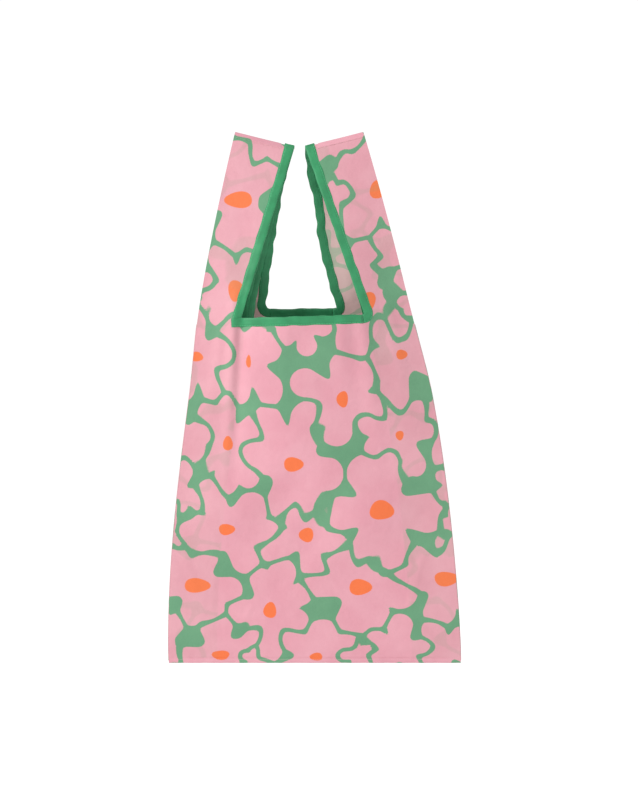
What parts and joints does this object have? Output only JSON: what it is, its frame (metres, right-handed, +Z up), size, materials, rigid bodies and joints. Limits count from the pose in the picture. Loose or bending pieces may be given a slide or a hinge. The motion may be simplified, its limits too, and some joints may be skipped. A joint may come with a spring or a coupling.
{
  "type": "foldable tote bag",
  "caption": "Thin folding tote bag hanging by its two handles, with pleated side gussets, taped mouth edges, a cross fold and a small stow pouch inside.",
  "frame": {"origin": "midway between the two handles, on the line where a bar, hook or hand passes through both hand loops", "axes": "+Z up, front of the bag towards -Y, +X to the right seen from the front"},
  "size_m": [0.3613, 0.08, 0.652],
  "materials": {
    "printed_cloth": "thin plain-weave polyester with a printed flower pattern in pink, green and orange, soft satin sheen",
    "cloth_reverse": "paler reverse side of the same printed cloth",
    "binding_tape": "folded green bias tape with one row of stitching",
    "snap": "smooth moulded snap fastener"
  },
  "bodies": {
    "bag_body": {"front_panel_upper": "printed_cloth", "back_panel_upper": "printed_cloth", "left_gusset_upper": "printed_cloth", "right_gusset_upper": "printed_cloth", "front_rim_binding": "binding_tape", "back_rim_binding": "binding_tape", "left_gusset_binding": "binding_tape", "right_gusset_binding": "binding_tape"},
    "lower_half": {"front_panel_lower": "printed_cloth", "back_panel_lower": "printed_cloth", "left_gusset_lower": "printed_cloth", "right_gusset_lower": "printed_cloth", "bottom_seam": "printed_cloth"},
    "left_handle": {"left_front_strap": "printed_cloth", "left_back_strap": "printed_cloth", "left_front_lining": "printed_cloth", "left_back_lining": "printed_cloth", "left_front_strap_binding": "binding_tape", "left_back_strap_binding": "binding_tape", "left_front_lining_binding": "binding_tape", "left_back_lining_binding": "binding_tape", "left_handle_seam": "printed_cloth"},
    "right_handle": {"right_front_strap": "printed_cloth", "right_back_strap": "printed_cloth", "right_front_lining": "printed_cloth", "right_back_lining": "printed_cloth", "right_front_strap_binding": "binding_tape", "right_back_strap_binding": "binding_tape", "right_front_lining_binding": "binding_tape", "right_back_lining_binding": "binding_tape", "right_handle_seam": "printed_cloth"},
    "stow_pouch": {"pouch_tab": "binding_tape", "pouch_back": "cloth_reverse", "pouch_front": "printed_cloth", "snap_stud": "snap"},
    "pouch_flap": {"pouch_flap": "printed_cloth", "snap_socket": "snap", "snap_cap": "snap"}
  },
  "joints": [
    {"name": "left_handle_fold", "type": "hinge", "parent": "bag_body", "child": "left_handle", "pos_m": [-0.095, -0.044, -0.201], "axis": [1, 0, 0], "range_deg": [0, 175]},
    {"name": "right_handle_fold", "type": "hinge", "parent": "bag_body", "child": "right_handle", "pos_m": [0.107, -0.044, -0.201], "axis": [1, 0, 0], "range_deg": [0, 175]},
    {"name": "cross_fold", "type": "hinge", "parent": "bag_body", "child": "lower_half", "pos_m": [0.0119, 0.0168, -0.416], "axis": [1, 0, 0], "range_deg": [0, 170]},
    {"name": "pouch_swing", "type": "hinge", "parent": "bag_body", "child": "stow_pouch", "pos_m": [0.0083, 0.033, -0.2121], "axis": [-1, 0, 0], "range_deg": [0, 6]},
    {"name": "flap_open", "type": "hinge", "parent": "stow_pouch", "child": "pouch_flap", "pos_m": [0.0083, 0.0125, -0.2397], "axis": [-1, 0, 0], "range_deg": [0, 105]}
  ]
}
